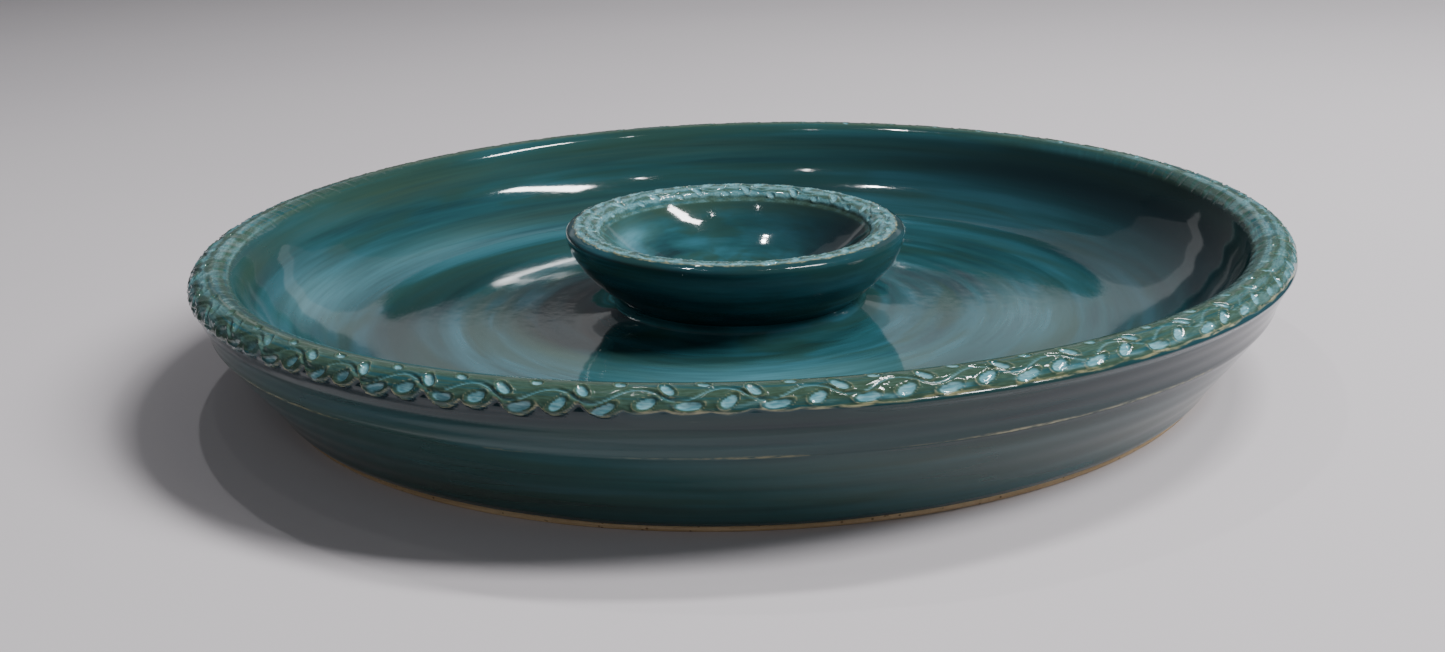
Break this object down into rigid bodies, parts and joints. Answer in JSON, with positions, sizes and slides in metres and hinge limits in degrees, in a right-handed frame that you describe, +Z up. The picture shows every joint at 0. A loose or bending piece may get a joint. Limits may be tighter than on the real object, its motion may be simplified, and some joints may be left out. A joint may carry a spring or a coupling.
{
  "type": "chip and dip server",
  "caption": "Round shallow stoneware platter with a flared wall and vine-stamped rim, and a small dip bowl fixed at its centre, coated in glossy teal glaze.",
  "frame": {"origin": "centre of the foot, on the surface that the server stands on", "axes": "+Z up along the axis of turning; the ware is round, so +X and +Y are any two square directions across it"},
  "size_m": [0.29, 0.29, 0.0371],
  "materials": {
    "stoneware": "unglazed, matt, fine sandy grain",
    "slip": "unglazed, matt, hidden",
    "glaze": "glossy variegated teal, breaking to tan on edges and pale blue in hollows"
  },
  "bodies": {
    "root": {"platter_body": "stoneware", "dip_bowl_body": "stoneware", "joining_coil": "stoneware", "luting_slip": "slip", "glaze_coat": "glaze"}
  },
  "joints": []
}
